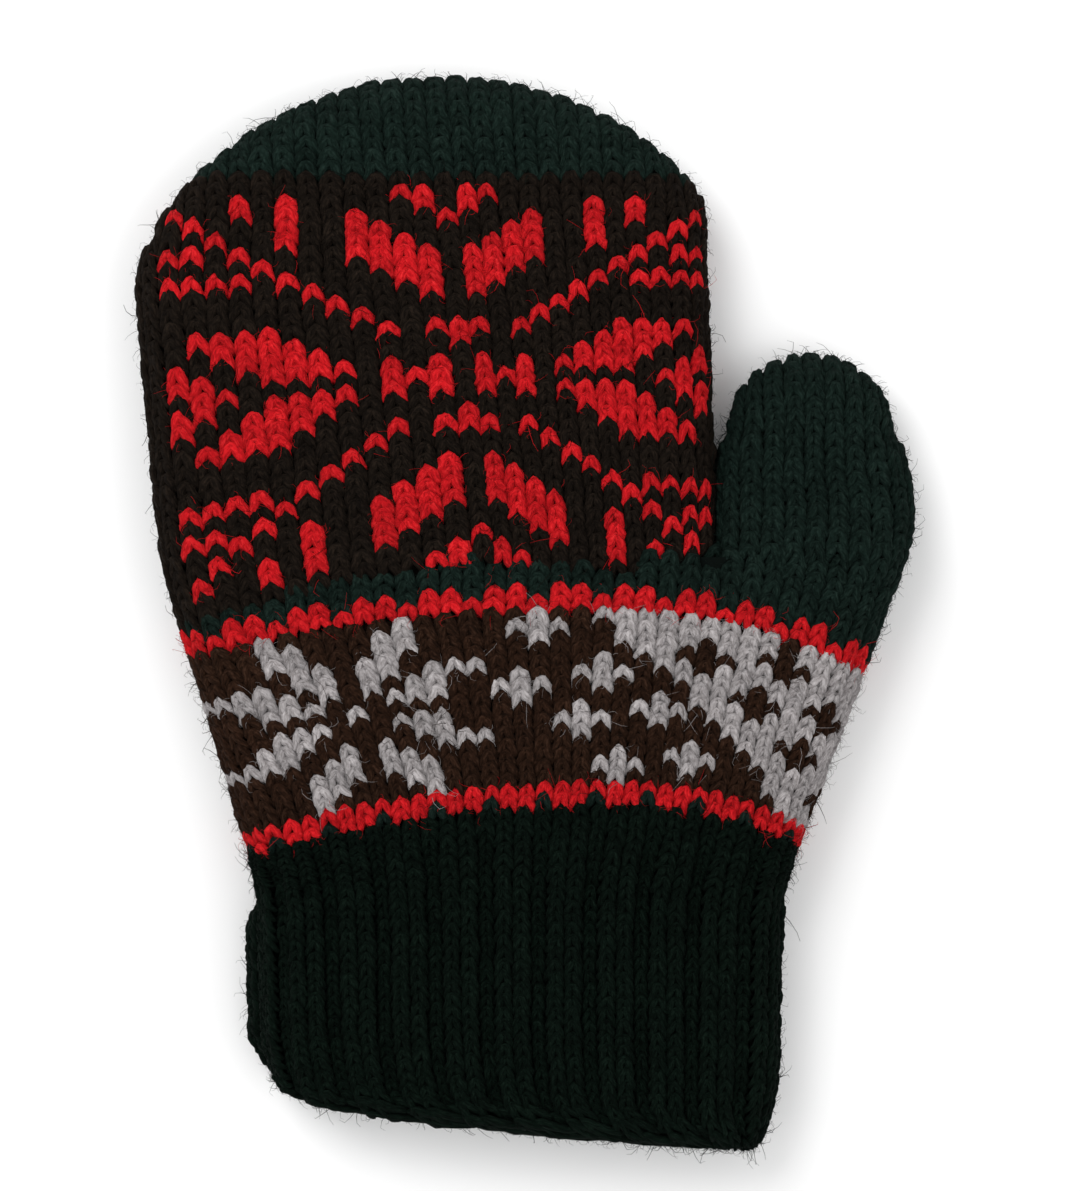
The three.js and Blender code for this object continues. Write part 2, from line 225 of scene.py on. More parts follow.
PALM = make_tube(
    ["cuff_hem", "rib_cuff", "wrist_rib", "red_stripe", "snow_band", "red_border", "black_band"]
)
HAND = make_tube(
    ["star_panel_lower", "star_panel_upper", "fingertip_cap"],
    FINGERTIP_RADIUS,
    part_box("fingertip_cap")[1].y / MM - SHOULDER_DROP,
)
THUMB = make_tube(["thumb_tube", "thumb_tip"], THUMB_TIP_RADIUS)
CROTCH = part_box("black_band")[1].y / MM
WRIST_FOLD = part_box("rib_cuff")[1].y / MM
CUFF_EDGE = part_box("cuff_hem")[0].y / MM
NOTCH = np.array([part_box("star_panel_lower")[1].x / MM, CROTCH])


def edge(tube, side, y):
    """An edge of the tube at these levels. Below the crotch the hand's left edge is the palm's."""
    at = np.interp(y, *tube[side])
    if tube is HAND and side == "left":
        at = np.where(y < CROTCH, np.interp(y, *PALM[side]), at)
    return at


def edges(tube, y):
    """Left and right edges of the yarn's middle surface, with their slopes."""
    left, right = edge(tube, "left", y), edge(tube, "right", y)
    slopes = [edge(tube, side, y + 0.5) - edge(tube, side, y - 0.5) for side in ("left", "right")]
    return left + YARN_INSET, right - YARN_INSET, *slopes


def thickness(tube, y):
    full = np.interp(y, tube["levels"], tube["thick"])
    if tube is THUMB:
        full = full + THUMB_ROOT_SWELL * (1 - smooth((y - CROTCH) / THUMB_ROOT))
    if tube is PALM:
        full = LAID_THICKNESS - WRIST_THINNING * smooth((WRIST_FOLD + 6 - y) / 12)
    return full


def rounding(tube, y):
    """Half thickness, the reach of the rounded side and how much longer its fabric is."""
    half = thickness(tube, y) / 2 - YARN_INSET
    reach = SIDE_REACH - YARN_INSET
    length = math.pi / 2 * np.sqrt((reach**2 + half**2) / 2)
    return half, reach, length


def flat_edges(tube, y):
    """Where the fabric's edges would be if each face were pressed out flat."""
    left, right, _, _ = edges(tube, y)
    half, reach, length = rounding(tube, y)
    return left - (length - reach), right + (length - reach)


FAR_INSIDE = 99.0  # a depth that no edge comes near


def wrap(tube, x, y, front):
    """Points of fabric pressed flat, wrapped round the tube's rounded sides and closed end."""
    left, right, left_slope, right_slope = edges(tube, y)
    half, reach, length = rounding(tube, y)
    spare = length - reach
    tilt = np.sqrt(1 + left_slope**2)
    depths = [(x - left + spare) / tilt]
    inward = [np.stack([1 / tilt, -left_slope / tilt], 1)]
    tilt = np.sqrt(1 + right_slope**2)
    depths.append((right + spare - x) / tilt)
    inward.append(np.stack([-1 / tilt, right_slope / tilt], 1))
    if tube["arc"]:
        cx, cy, radius = tube["arc"]
        away = np.stack([x - cx, y - cy], 1)
        far = np.linalg.norm(away, axis=1)
        above = y > cy
        depths.append(np.where(above, radius - YARN_INSET + spare - far, FAR_INSIDE))
        inward.append(np.where(above[:, None], -away / np.maximum(far, 1e-6)[:, None], 0))
    depths = np.stack(depths)
    nearest = depths.min(0)
    share = np.exp(-(depths - nearest) / CORNER_BLEND)
    depth = nearest - CORNER_BLEND * np.log(share.sum(0))
    toward = (share[:, :, None] * np.stack(inward)).sum(0)
    toward /= np.maximum(np.linalg.norm(toward, axis=1), 1e-6)[:, None]
    angle = np.clip(depth / length, -0.6, 1) * math.pi / 2
    moved = np.where(depth < length, reach * (1 - np.cos(angle)) + spare - depth, 0)
    place = np.stack([x, y], 1) + toward * moved[:, None]
    rise = np.sin(angle)
    middle = (left + right) / 2
    crown = CROWN * ((place[:, 0] - middle) / (right - middle)) ** 2
    rise = np.where(front, rise, -rise)
    if tube is PALM:  # both faces come together at the crotch
        reached = np.linalg.norm(place - NOTCH, axis=1) / SIDE_REACH
        dip = np.sqrt(1 - (1 - np.clip(reached, 0, 1)) ** 2)
        rise = rise * dip
    height = thickness(tube, y) / 2 + half * rise - np.where(rise > 0, crown * rise, 0)
    if tube is THUMB:  # its root lies against the hand
        inner = np.clip((right - x) / (right - left), 0, 1)
        place[:, 0] -= THUMB_PRESS * inner * smooth((CROTCH + THUMB_PRESS_REACH - y) / 12)
    if tube is PALM:  # the cuff's lower layer slips out to the left
        low = smooth((thickness(tube, y) / 2 + 1 - height) / 3)
        low = low * smooth((left + 2 + SLIP_REACH - x) / SLIP_REACH)
        cuff_part = smooth((WRIST_FOLD - y) / 9) * smooth((y - SLIP_END) / 10)
        place[:, 0] -= LAYER_SLIP * low * cuff_part
    return np.stack([place[:, 0], place[:, 1], height], 1), depth


# ---- courses: each row's height over the fabric, highest near its middle ----
PALM_COURSES = np.array(
    # row, height of its highest point, where that is across, drop at left, drop at right
    [
        [-12, 26.0, 0.58, 9.5, 13.5],
        [0, 2.0, 0.58, 9.5, 13.5],
        [17, -32.0, 0.65, 10.7, 10.0],
        [24.5, WRIST_FOLD, 0.65, 0, 0],
        [46.9, CUFF_EDGE, 0.6, -HEM_SLANT, 0],
        [69.3, 2 * CUFF_EDGE - WRIST_FOLD, 0.6, -2 * HEM_SLANT, 0],
    ]
)
STAR_MIDDLE = 41.4  # height of the star's middle row
STAR_WALE_FOOT = (-7.2, 12.2)  # a point on the star's middle wale
STAR_LEAN = 0.1076  # which leans to the left by this much for each millimetre up
STAR_DROP_CURVE = 1.6
STAR_DROPS = np.array(
    # row, drop at left, drop at right
    [[-26, -0.8, -0.4], [-13, -0.6, -0.3], [0, 7.6, 0.4], [13, 13.1, 5.6], [16, 13.5, 6.2]]
)


def drop(u, top, left, right):
    """How far a row has sagged at the share u of its way across, on both sides of its top."""
    to_left = np.clip((top - u) / top, 0, 2)
    to_right = np.clip((u - top) / (1 - top), 0, 2)
    return left * to_left**2 + right * to_right**2


def palm_place(wales, crowding=0.0, twist=0.0):
    """Returns the function that says where a wale and course of the palm or cuff lie.

    Wales count round the tube: over the upper face from the left, then back under it.
    """

    def place(c, r):
        c = c + twist * np.interp(r, BAND_ENDS, [0, 1]) * np.cos(math.pi * c / (2 * wales)) ** 2
        c = np.mod(c, 2 * wales)
        front = c <= wales
        across = np.where(front, c, 2 * wales - c) / wales
        across = across + crowding * across * (1 - across)
        rows, high, top, left, right = PALM_COURSES.T
        y, top = np.interp(r, rows, high), np.interp(r, rows, top)
        left, right = np.interp(r, rows, left), np.interp(r, rows, right)
        y = y - drop(across, top, left, right)
        x0, x1 = flat_edges(PALM, np.maximum(y, CUFF_EDGE))
        return wrap(PALM, x0 + across * (x1 - x0), y, front)

    return place


def hem_place(c, r):
    """The cuff's courses, the last of them folded up inside it."""
    outside = palm_place(PALM_WALES)
    flat = np.minimum(r, HEM_ROW)
    at, depth = outside(c, flat)
    across = outside(c + 0.3, flat)[0] - outside(c - 0.3, flat)[0]
    down = at - outside(c, flat - 0.5)[0]
    out = np.cross(down, across)
    down /= np.linalg.norm(down, axis=1)[:, None]
    out /= np.linalg.norm(out, axis=1)[:, None]
    past = np.maximum(r - HEM_ROW, 0) * COURSE
    turn = np.minimum(past / HEM_RADIUS, math.pi)
    beyond = np.maximum(past - math.pi * HEM_RADIUS, 0)
    at = at + down * (HEM_RADIUS * np.sin(turn) - beyond)[:, None]
    return at - out * (HEM_RADIUS * (1 - np.cos(turn)))[:, None], depth


def hand_place(c, r):
    """Where a wale and course of the hand lie. Courses count down from the star's middle."""
    c = np.mod(c, 2 * HAND_WALES)
    front = c <= HAND_WALES
    side = np.where(front, c, 2 * HAND_WALES - c) - HAND_LEFT_WALES
    left_share = np.clip(-side / HAND_LEFT_WALES, 0, 1)
    right_share = np.clip(side / (HAND_WALES - HAND_LEFT_WALES), 0, 1)
    rows, left, right = STAR_DROPS.T
    level = STAR_MIDDLE - COURSE * r
    y = level
    for _ in range(4):  # the edges depend on the height, and the height on the edges
        x0, x1 = flat_edges(HAND, np.minimum(y, SHOULDER_LEVEL))
        middle = STAR_WALE_FOOT[0] - STAR_LEAN * (y - STAR_WALE_FOOT[1])
        x = middle - left_share * (middle - x0) + right_share * (x1 - middle)
        y = level - np.interp(r, rows, left) * left_share**STAR_DROP_CURVE
        y = y - np.interp(r, rows, right) * right_share**STAR_DROP_CURVE
    return wrap(HAND, x, y, front)


def thumb_place(c, r):
    """Where a wale and course of the thumb lie. Courses count up from the crotch."""
    c = np.mod(c, 2 * THUMB_WALES)
    front = c <= THUMB_WALES
    across = np.where(front, c, 2 * THUMB_WALES - c) / THUMB_WALES
    y = CROTCH + COURSE * r
    x0, x1 = flat_edges(THUMB, np.minimum(y, THUMB["arc"][1]))
    y = y - THUMB_SAG * (2 * across - 1) ** 2
    return wrap(THUMB, x0 + across * (x1 - x0), y, front)


# ---- laying stitches ----
def lay(place, c, r, up=-1, raise_by=0.0):
    """Places, directions and sizes of the stitches in the middles of cells c, r of a chart.

    up is -1 where courses count downwards.
    """
    c, r = np.asarray(c, float) + 0.5, np.asarray(r, float)
    centre, depth = place(c, r)
    across = place(c + 0.5, r)[0] - place(c - 0.5, r)[0]
    along = (place(c, r + 0.5)[0] - place(c, r - 0.5)[0]) * up
    normal = np.cross(across, along)
    normal /= np.linalg.norm(normal, axis=1)[:, None]
    return {
        "centre": centre + normal * np.reshape(raise_by, (-1, 1)),
        "across": across,
        "along": along,
        "normal": normal,
        "depth": depth,
    }


def pick(laid, chosen):
    """Only the chosen stitches."""
    return {k: v[chosen] for k, v in laid.items()}


# ---- the loop of yarn ----
LOOP_PATH = [  # half of it, from the top of the loop to one foot
    (0.0, 1.20, 0.30),
    (0.42, 1.02, 0.42),
    (0.74, 0.35, 0.50),
    (1.10, -0.50, 0.38),
    (1.45, -1.30, 0.0),
    (1.66, -2.0, -0.70),
]
LOOP_SIDES = 6
LOOP_KINDS = 5
LOOP_WIDTH = 0.88  # half the yarn's width, and half its height next
LOOP_HEIGHT = 0.70
LOOP_WANDER = 0.09


def tube_mesh(name, path, widths, heights, sides):
    """A length of yarn along a path, closed at both ends, mapped in millimetres along it."""
    path = np.array(path, float)
    count = len(path)
    verts, faces, uvs = [], [], []
    steps = np.linalg.norm(np.diff(path, axis=0), axis=1)
    run = np.concatenate([[0], np.cumsum(steps)])
    for i in range(count):
        t = path[min(i + 1, count - 1)] - path[max(i - 1, 0)]
        t = t / np.linalg.norm(t)
        side = np.cross([0, 0, 1], t)
        side /= np.linalg.norm(side)
        up = np.cross(t, side)
        for k in range(sides):
            turn = 2 * math.pi * k / sides
            at = path[i] + side * math.cos(turn) * widths[i] + up * math.sin(turn) * heights[i]
            verts.append(tuple(at))
    for i in range(count - 1):
        for k in range(sides):
            j = (k + 1) % sides
            faces.append((i * sides + k, i * sides + j, (i + 1) * sides + j, (i + 1) * sides + k))
            low, high = k / sides, (k + 1) / sides
            uvs += [(run[i], low), (run[i], high), (run[i + 1], high), (run[i + 1], low)]
    for i, order in ((0, range(sides - 1, -1, -1)), (count - 1, range(sides))):
        faces.append(tuple(i * sides + k for k in order))
        uvs += [(run[i], k / sides) for k in order]
    mesh = bpy.data.meshes.new(name)
    mesh.from_pydata([tuple(c * MM for c in v) for v in verts], [], faces)
    layer = mesh.uv_layers.new(name="Yarn")
    layer.data.foreach_set("uv", np.array(uvs, np.float32).ravel())
    mesh.shade_smooth()
    return mesh


def shape_collection(label):
    """An empty collection that copies are picked from."""
    shapes = bpy.data.collections.new(label)
    scene.collection.children.link(shapes)
    return shapes


def loop_shapes():
    """A few loops that differ a little."""
    shapes = shape_collection("knit_loop")
    right = np.array(LOOP_PATH)
    left = right[1:][::-1] * [-1, 1, 1]
    whole = np.concatenate([left, right])
    share = np.abs(np.linspace(-1, 1, len(whole)))
    taper = 1 - 0.35 * share**3
    for k in range(LOOP_KINDS):
        bent = whole + DRAWS.normal(0, LOOP_WANDER, whole.shape) * [1, 1, 0.6]
        thick = taper * (1 + DRAWS.normal(0, 0.06, len(whole)))
        name = f"knit_loop_{k}"
        mesh = tube_mesh(name, bent, LOOP_WIDTH * thick, LOOP_HEIGHT * thick, LOOP_SIDES)
        shapes.objects.link(bpy.data.objects.new(name, mesh))
    return shapes


KNIT_LOOPS = loop_shapes()

FIBRE_LENGTHS = [0.8, 0.9, 1.0, 1.1, 1.3, 1.4, 1.6, 1.8, 2.1, 2.6, 3.6]
FIBRE_RADIUS = 0.04  # real fibres are half as thick, and would not show
FIBRE_SIDES = 3


def fibre_shapes():
    """Loose fibres that rise out of the yarn and curl over."""
    shapes = shape_collection("loose_fibres")
    for k, length in enumerate(FIBRE_LENGTHS):
        lift, curl = DRAWS.uniform(0.25, 0.8), DRAWS.uniform(-0.5, 0.5)
        share = np.linspace(0, 1, 4)
        path = np.stack(
            [
                length * share * (1 - 0.15 * share),
                length * curl * np.sin(2.4 * share),
                length * lift * np.sin(2.0 * share) - 0.15,
            ],
            1,
        )
        thick = FIBRE_RADIUS * (1 - 0.6 * share)
        mesh = tube_mesh(f"loose_fibre_{k}", path, thick, thick, FIBRE_SIDES)
        shapes.objects.link(bpy.data.objects.new(f"loose_fibre_{k}", mesh))
    return shapes


LOOSE_FIBRES = fibre_shapes()


# ---- one tree of nodes lays copies of a shape on points ----
def copies_tree():
    """Puts a shape on each point, turned and sized by the points' attributes, and wobbles it."""
    tree = bpy.data.node_groups.new("copies_on_points", "GeometryNodeTree")
    ins = [
        ("Points", "NodeSocketGeometry"),
        ("Shapes", "NodeSocketCollection"),
        ("Finish", "NodeSocketMaterial"),
        ("Wobble", "NodeSocketFloat"),
        ("Seed", "NodeSocketInt"),
    ]
    for name, kind in ins:
        tree.interface.new_socket(name, in_out="INPUT", socket_type=kind)
    tree.interface.new_socket("Fabric", in_out="OUTPUT", socket_type="NodeSocketGeometry")
    given = add(tree, "NodeGroupInput").outputs
    across = add(tree, "GeometryNodeInputNamedAttribute", {"Name": "across"}, data_type="FLOAT_VECTOR")
    normal = add(tree, "GeometryNodeInputNamedAttribute", {"Name": "out"}, data_type="FLOAT_VECTOR")
    size = add(tree, "GeometryNodeInputNamedAttribute", {"Name": "size"}, data_type="FLOAT_VECTOR")
    turned = add(
        tree,
        "FunctionNodeAxesToRotation",
        None,
        {"Primary Axis": normal.outputs["Attribute"], "Secondary Axis": across.outputs["Attribute"]},
        primary_axis="Z",
        secondary_axis="X",
    )
    shapes = add(
        tree,
        "GeometryNodeCollectionInfo",
        {"Separate Children": True, "Reset Children": True},
        {"Collection": given["Shapes"]},
    )
    which = add(
        tree,
        "FunctionNodeRandomValue",
        {4: 0, 5: 997},  # the least and the most: the other kinds' sockets have the same names
        {"Seed": given["Seed"]},
        data_type="INT",
    )
    laid = add(
        tree,
        "GeometryNodeInstanceOnPoints",
        {"Pick Instance": True},
        {
            "Points": given["Points"],
            "Instance": shapes.outputs["Instances"],
            "Instance Index": which.outputs[2],
            "Rotation": turned.outputs["Rotation"],
            "Scale": size.outputs["Attribute"],
        },
    )
    real = add(tree, "GeometryNodeRealizeInstances", None, {"Geometry": laid.outputs["Instances"]})
    wobble = add(
        tree, "ShaderNodeTexNoise", {"Scale": WOBBLE_SCALE, "Detail": 1.0, "Roughness": 0.5}
    )
    centred = add(
        tree,
        "ShaderNodeVectorMath",
        {1: (0.5, 0.5, 0.5)},
        {0: wobble.outputs["Color"]},
        operation="SUBTRACT",
    )
    offset = add(
        tree,
        "ShaderNodeVectorMath",
        None,
        {0: centred.outputs[0], "Scale": given["Wobble"]},
        operation="SCALE",
    )
    moved = add(
        tree,
        "GeometryNodeSetPosition",
        None,
        {"Geometry": real.outputs[0], "Offset": offset.outputs[0]},
    )
    soft = add(tree, "GeometryNodeSetShadeSmooth", None, {"Geometry": moved.outputs[0]})
    done = add(
        tree,
        "GeometryNodeSetMaterial",
        None,
        {"Geometry": soft.outputs[0], "Material": given["Finish"]},
    )
    add(tree, "NodeGroupOutput", None, {"Fabric": done.outputs[0]})
    return tree


COPIES = copies_tree()


def press_on_floor(mesh):
    """Flattens what would sink into the floor, within the last part of a millimetre over it."""
    places = np.empty(len(mesh.vertices) * 3, np.float32)
    mesh.vertices.foreach_get("co", places)
    high = places[2::3] / PRESSED_HEIGHT / MM
    places[2::3] = np.where(high < 1, np.exp(np.minimum(high, 1) - 1), high) * PRESSED_HEIGHT * MM
    mesh.vertices.foreach_set("co", places)


def copied(name, places, out, across, size, tone, shapes, finish, wobble, seed):
    """Copies of the shapes on points, as one plain mesh object."""
    mesh = bpy.data.meshes.new(name)
    mesh.from_pydata((places * MM).tolist(), [], [])
    for label, values in (("out", out), ("across", across), ("size", size)):
        made = mesh.attributes.new(label, "FLOAT_VECTOR", "POINT")
        made.data.foreach_set("vector", np.asarray(values, np.float32).ravel())
    mesh.attributes.new("tone", "FLOAT", "POINT").data.foreach_set(
        "value", np.asarray(tone, np.float32)
    )
    points = bpy.data.objects.new(name + "_points", mesh)
    scene.collection.objects.link(points)
    nodes = points.modifiers.new("copies", "NODES")
    nodes.node_group = COPIES
    named = {s.name: s.identifier for s in COPIES.interface.items_tree if s.in_out == "INPUT"}
    nodes[named["Shapes"]] = shapes
    nodes[named["Finish"]] = finish
    nodes[named["Wobble"]] = wobble * MM
    nodes[named["Seed"]] = seed
    depsgraph = bpy.context.evaluated_depsgraph_get()
    made = bpy.data.meshes.new_from_object(points.evaluated_get(depsgraph), depsgraph=depsgraph)
    bpy.data.objects.remove(points)
    bpy.data.meshes.remove(mesh)
    made.name = name
    press_on_floor(made)
    for label in ("out", "across", "size"):
        if label in made.attributes:
            made.attributes.remove(made.attributes[label])
    piece = bpy.data.objects.new(name, made)
    scene.collection.objects.link(piece)
    return piece


def knitted(name, laid, finish, seed, fibres=7):
    """Stitches of one yarn, and the loose fibres brushed up from them.

    Each stitch differs a little in size, lean, place and tone, and so do its fibres.
    """
    count = len(laid["centre"])
    wide = np.linalg.norm(laid["across"], axis=1) / WALE
    tall = np.linalg.norm(laid["along"], axis=1) / COURSE
    draws = np.random.default_rng(seed)
    size = np.stack(
        [
            wide * draws.normal(1.0, 0.03, count),
            tall * draws.normal(1.0, 0.05, count),
            draws.normal(1.0, 0.08, count),
        ],
        1,
    )
    up = laid["along"] / np.linalg.norm(laid["along"], axis=1)[:, None]
    across = np.cross(up, laid["normal"])
    turn = draws.normal(0, 0.05, count)[:, None]
    turned = across * np.cos(turn) + up * np.sin(turn)
    lean = laid["normal"] + across * draws.normal(0, 0.05, (count, 1))
    centre = laid["centre"] + draws.normal(0, 0.07, (count, 3))
    tone = draws.uniform(0, 1, count)
    stitches = copied(
        name, centre, lean, turned, size, tone, KNIT_LOOPS, finish, STITCH_WOBBLE, seed
    )

    every = np.repeat(np.arange(count), fibres)
    many = len(every)
    root = centre[every] + laid["normal"][every] * draws.uniform(0.5, 1.0, (many, 1))
    root += laid["across"][every] * draws.uniform(-0.5, 0.5, (many, 1))
    root += laid["along"][every] * draws.uniform(-0.7, 0.7, (many, 1))
    way = draws.uniform(0, 2 * math.pi, many)[:, None]
    heading = across[every] * np.cos(way) + up[every] * np.sin(way)
    stand = laid["normal"][every] + draws.normal(0, 0.25, (many, 3))
    # Fibres under the mitten are pressed flat against it.
    free = np.where(laid["normal"][every, 2:] < -0.2, 0.45, 1.0)
    lengths = np.repeat(free * np.exp(draws.normal(0, 0.25, (many, 1))), 3, 1)
    fuzz = copied(
        name + "_fuzz",
        root,
        stand,
        heading,
        lengths,
        tone[every],
        LOOSE_FIBRES,
        finish,
        FUZZ_WOBBLE,
        seed,
    )
    return [stitches, fuzz]


def floats(name, place, wales, rows, finish, up=-1, inset=FLOAT_INSET, opened=None):
    """The yarn carried behind the stitches: a thin tube of fabric that closes their gaps."""
    c, r = np.meshgrid(np.arange(2 * wales), rows)
    laid = lay(place, c.ravel() - 0.5, r.ravel(), up)
    points = laid["centre"] - laid["normal"] * inset
    shown = laid["depth"] > -TIP_OVERLAP
    if opened is not None:
        shown &= opened(laid["centre"])
    height, width = c.shape
    faces = []
    for i in range(height - 1):
        for j in range(width):
            k = (j + 1) % width
            face = [i * width + j, i * width + k, (i + 1) * width + k, (i + 1) * width + j]
            if shown[face].all():
                faces.append(face[::-1] if up < 0 else face)
    used = np.unique(faces)
    index = np.full(len(points), -1)
    index[used] = np.arange(len(used))
    mesh = bpy.data.meshes.new(name)
    mesh.from_pydata((points[used] * MM).tolist(), [], index[np.array(faces)].tolist())
    layer = mesh.uv_layers.new(name="Yarn")
    corners = np.array([loop.vertex_index for loop in mesh.loops])
    layer.data.foreach_set("uv", (points[used][corners][:, :2]).astype(np.float32).ravel())
    mesh.shade_smooth()
    mesh.materials.append(finish)
    piece = bpy.data.objects.new(name, mesh)
    scene.collection.objects.link(piece)
    wall = piece.modifiers.new("wall", "SOLIDIFY")
    wall.thickness = FLOAT_WALL * MM
    wall.offset = -1
    return piece


# ---- yarns ----
def yarn(name, hollow_shade, body, light, sheen_colour, sheen):
    """Brushed acrylic, spun and knitted: soft, fibrous and dull, with painted shade in the hollows
    between plies.

    Each stitch has its own tone and its own stretch of the fibres.
    """
    made = bpy.data.materials.new(name)
    made.use_nodes = True
    tree = made.node_tree
    tree.nodes.clear()
    along = add(tree, "ShaderNodeUVMap", uv_map="Yarn")
    # Fibres about 0.15 mm wide and 2 mm long, drawn coarser than real ones so that they show.
    stretched = add(
        tree, "ShaderNodeMapping", {"Scale": (0.7, 9.0, 1.0)}, {"Vector": along.outputs["UV"]}
    )
    tone = add(tree, "ShaderNodeAttribute", attribute_name="tone")
    spread = add(
        tree, "ShaderNodeMath", {1: 37.0}, {0: tone.outputs["Fac"]}, operation="MULTIPLY"
    )
    apart = add(
        tree, "ShaderNodeCombineXYZ", None, {"X": spread.outputs[0], "Z": spread.outputs[0]}
    )
    shifted = add(
        tree,
        "ShaderNodeVectorMath",
        None,
        {0: stretched.outputs[0], 1: apart.outputs[0]},
        operation="ADD",
    )
    fibres = add(
        tree,
        "ShaderNodeTexNoise",
        {"Scale": 1.6, "Detail": 3.0, "Roughness": 0.65, "Distortion": 0.4},
        {"Vector": shifted.outputs[0]},
    )
    # Painted shade and light: the colour follows the same fibre pattern as the bump, darkest in its
    # hollows and lightest on its raised fibres.
    shade = add(tree, "ShaderNodeValToRGB", None, {"Fac": fibres.outputs["Fac"]})
    ramp = shade.color_ramp
    ramp.elements[0].position, ramp.elements[0].color = 0.30, linear(hollow_shade)
    ramp.elements[1].position, ramp.elements[1].color = 0.52, linear(body)
    ramp.elements.new(0.74).color = linear(light)
    brighter = add(
        tree,
        "ShaderNodeMapRange",
        {"To Min": 0.82, "To Max": 1.15},
        {"Value": tone.outputs["Fac"]},
    )
    colour = add(
        tree,
        "ShaderNodeMix",
        {"Factor": 1.0},
        {6: shade.outputs["Color"], 7: brighter.outputs[0]},
        data_type="RGBA",
        blend_type="MULTIPLY",
    )
    bump = add(
        tree,
        "ShaderNodeBump",
        {"Strength": 0.8, "Distance": 0.25 * MM},
        {"Height": fibres.outputs["Fac"]},
    )
    surface = add(
        tree,
        "ShaderNodeBsdfPrincipled",
        {
            "Roughness": 0.92,
            "IOR": 1.45,
            "Specular IOR Level": 0.05,
            "Sheen Weight": sheen,
            "Sheen Roughness": 0.5,
            "Sheen Tint": linear(sheen_colour),
        },
        {"Base Color": colour.outputs[2], "Normal": bump.outputs[0]},
    )
    add(tree, "ShaderNodeOutputMaterial", None, {"Surface": surface.outputs[0]})
    return made


# Each yarn: its painted shade for the hollows, its own colour, its painted light on the raised fibres,
# then its sheen's tint and weight.
# Near-black with a green cast: a soft deep surface with no highlight.
BLACK_YARN = yarn("black_acrylic_yarn", "#050c09", "#0f1b17", "#1f2c27", "#43504c", 0.05)
# The same yarn in the rib and cuff, made darker all over as painted shade for the rib's deep furrows.
RIB_YARN_PAINTED_SHADE = yarn("black_rib_yarn_painted_shade", "#010302", "#050e09", "#101b15", "#2a3530", 0.03)
# The star panel's warmer, browner black.
GROUND_YARN = yarn("dark_jacquard_ground", "#060403", "#140f0b", "#241c16", "#50443f", 0.04)
# Deep clear red, with painted shade in the hollows, that stands out from the black like a painted
# line.
RED_YARN = yarn("red_acrylic_yarn", "#7c0a0f", "#b2141a", "#cf2a2c", "#f06060", 0.08)
# Dark chocolate brown, a little lighter than the blacks beside it.
BROWN_YARN = yarn("brown_acrylic_yarn", "#0d0704", "#24150d", "#3a281e", "#6a5a50", 0.06)
# Mid grey with a pale bloom of loose fibres.
GREY_YARN = yarn("grey_acrylic_yarn", "#6a6463", "#959090", "#b5b0b0", "#ffffff", 0.1)
# Plain knitted lining, seen only as darkness in the cuff's mouth.
LINING = yarn("plain_lining", "#030504", "#0a100e", "#141c1a", "#404a47", 0.05)
# Rubber thread wound with polyester: a flat charcoal.
ELASTIC = yarn("covered_elastic_thread", "#050505", "#101212", "#1c1f1f", "#404444", 0.05)


# ---- charts ----
STAR = """
.XXX......XX.
.X.X.XXXX..XX
......XXXX..X
X......XXXX..
XX.X....XXXX.
....X........
.....X.......
.X....X......
.XX....X.XXXX
.XXX....X....
.XXXX....X.XX
..XXX..X..X..
...XX..X...X.
X...X..X.X..X
.X.....X.X...
.XX..........
""".split()  # a quarter of it: from the middle row out, and from the middle wale out
STAR_REACH = len(STAR) - 1
STAR_WIDTH = len(STAR[0]) - 1
STAR_WALE = int(HAND_LEFT_WALES)  # its middle wale


def in_star(c, r):
    """Whether the stitch in wale c and row r of the hand is red."""
    d = abs((c if c < HAND_WALES else 2 * HAND_WALES - 1 - c) - STAR_WALE)
    k = abs(r)
    return k <= STAR_REACH and d <= STAR_WIDTH and STAR[k][d] == "X"


SNOW = """
....o.....o.....o..ooooooooo.ooooo
....oo...oo....ooo..oooooooo.ooooo
....oo...oo.....o...oooo.oo...oooo
.....oo.oo...........oo...oo.ooooo
oooo.oo.oo.ooo.....o..oo.oooooo.oo
..ooo.o.o.oo...o..ooo..oooo.oo...o
...ooo...ooo..ooo..o....oo...oo.oo
.......o.......o......o.ooo.oooooo
...ooo...ooo......o..ooo.ooooo.ooo
..ooo.....oo.....ooo..o...ooo...oo
oooo..o.o..ooo....o........ooo.ooo
.....oo.oo..............o...ooooo.
....ooo.ooo.........o..ooo...ooo..
....oo...oo........ooo..o....oooo.
....o.....o.........o.........oooo
""".split()  # from the border down, on one face


def in_snow(c, r):
    """Whether the stitch in wale c and row r of the snow band is grey."""
    return SNOW[r - 1][c if c < BAND_WALES else 2 * BAND_WALES - 1 - c] == "o"


def chart(rows, wales):
    """Every wale round the tube for each of the rows, as columns c and r."""
    return np.array([(c, r) for r in rows for c in range(2 * wales)]).T


# the star panel and the fingertip
c, r = chart(HAND_ROWS, HAND_WALES)
hand = lay(hand_place, c, r)
red = np.array([in_star(*cell) for cell in zip(c, r)])


def clear_of_palm(places):
    """Whether fabric of the hand is outside the corner that the palm fills."""
    return (places[:, 0] < PANEL_CORNER) | (places[:, 1] > CROTCH)


